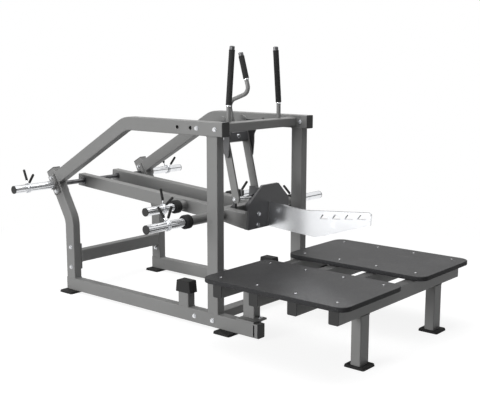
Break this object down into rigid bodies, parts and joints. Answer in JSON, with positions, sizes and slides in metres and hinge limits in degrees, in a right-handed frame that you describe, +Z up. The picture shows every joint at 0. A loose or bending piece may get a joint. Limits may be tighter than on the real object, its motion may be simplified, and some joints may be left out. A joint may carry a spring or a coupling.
{
  "type": "sumo deadlift machine",
  "caption": "Plate-loaded lever deadlift machine: tube frame with paired standing platforms, belt tongue, plate horns, lockout lever and balance handles.",
  "frame": {"origin": "on the floor, under the middle of the machine's overall length and width", "axes": "+X to the lifter's left when facing the machine, +Y from the platforms towards the lever's pivot, +Z up"},
  "size_m": [1.592, 2.51, 1.5866],
  "materials": {
    "frame_paint": "powder coat, fine texture, satin",
    "plate_paint": "dark powder coat, satin",
    "rubber": "matte moulded rubber",
    "cap_plastic": "matte black moulding",
    "board": "matte rubber facing with a fine grain",
    "chrome": "bright hard chrome, lightly scratched",
    "bolt_steel": "bright plated",
    "shaft_steel": "turned steel, lightly oiled",
    "spring_wire": "plated spring wire",
    "polished_steel": "ground and polished plate"
  },
  "bodies": {
    "frame": {"bottom_rail_left": "frame_paint", "bottom_rail_right": "frame_paint", "rear_upright_left": "frame_paint", "rear_upright_right": "frame_paint", "top_rail_left": "frame_paint", "top_rail_right": "frame_paint", "front_upright_left": "frame_paint", "front_upright_right": "frame_paint", "rear_crossbar": "frame_paint", "top_crossbar": "frame_paint", "bottom_crossbar": "frame_paint", "stop_posts": "frame_paint", "stop_rubbers": "rubber", "frame_end_caps": "cap_plastic", "rubber_feet": "rubber", "platform_left": "board", "platform_right": "board", "platform_beam_1": "frame_paint", "platform_beam_2": "frame_paint", "platform_beam_3": "frame_paint", "platform_beam_4": "frame_paint", "platform_posts": "frame_paint", "platform_legs": "frame_paint", "platform_bolts": "bolt_steel", "frame_bolts": "bolt_steel", "storage_flanges": "frame_paint", "storage_sleeve_left": "chrome", "storage_sleeve_right": "chrome", "pivot_shaft": "shaft_steel", "balance_handle_left": "frame_paint", "balance_handle_right": "frame_paint", "balance_grips": "rubber", "lockout_bracket": "plate_paint", "lockout_axle": "chrome"},
    "lever": {"lever_arm_left": "frame_paint", "lever_arm_right": "frame_paint", "pivot_bushes": "shaft_steel", "lever_crossbar": "frame_paint", "catch_plates": "plate_paint", "arm_flange": "frame_paint", "front_plate": "plate_paint", "belt_tongue": "polished_steel", "horn_stubs": "frame_paint", "horn_rings": "rubber", "lower_sleeve_left": "chrome", "lower_sleeve_right": "chrome", "upper_sleeve_left": "chrome", "upper_sleeve_right": "chrome", "lever_end_caps": "cap_plastic", "lever_bolts": "bolt_steel"},
    "lockout": {"lockout_links": "frame_paint", "lock_bar": "chrome", "lockout_lever": "frame_paint", "lockout_grip": "rubber"},
    "lower_left_collar": {"lower_collar_left": "spring_wire"},
    "lower_right_collar": {"lower_collar_right": "spring_wire"},
    "upper_left_collar": {"upper_collar_left": "spring_wire"},
    "upper_right_collar": {"upper_collar_right": "spring_wire"},
    "storage_left_collar": {"storage_collar_left": "spring_wire"},
    "storage_right_collar": {"storage_collar_right": "spring_wire"}
  },
  "joints": [
    {"name": "lever_hinge", "type": "hinge", "parent": "frame", "child": "lever", "pos_m": [0, 1.16686, 0.70257], "axis": [-1, 0, 0], "range_deg": [0, 10]},
    {"name": "lockout_hinge", "type": "hinge", "parent": "frame", "child": "lockout", "pos_m": [0, -0.03, 1.055], "axis": [-1, 0, 0], "range_deg": [0, 10]},
    {"name": "lower_left_collar_slide", "type": "slide", "parent": "lever", "child": "lower_left_collar", "axis": [-1, 0, 0], "range_m": [-0.1143, 0.1473]},
    {"name": "lower_right_collar_slide", "type": "slide", "parent": "lever", "child": "lower_right_collar", "axis": [1, 0, 0], "range_m": [-0.0103, 0.2513]},
    {"name": "upper_left_collar_slide", "type": "slide", "parent": "lever", "child": "upper_left_collar", "axis": [-1, 0, 0], "range_m": [-0.0713, 0.1343]},
    {"name": "upper_right_collar_slide", "type": "slide", "parent": "lever", "child": "upper_right_collar", "axis": [1, 0, 0], "range_m": [-0.0383, 0.1673]},
    {"name": "storage_left_collar_slide", "type": "slide", "parent": "frame", "child": "storage_left_collar", "axis": [-1, 0, 0], "range_m": [-0.1573, 0.0953]},
    {"name": "storage_right_collar_slide", "type": "slide", "parent": "frame", "child": "storage_right_collar", "axis": [1, 0, 0], "range_m": [-0.1333, 0.1193]}
  ]
}
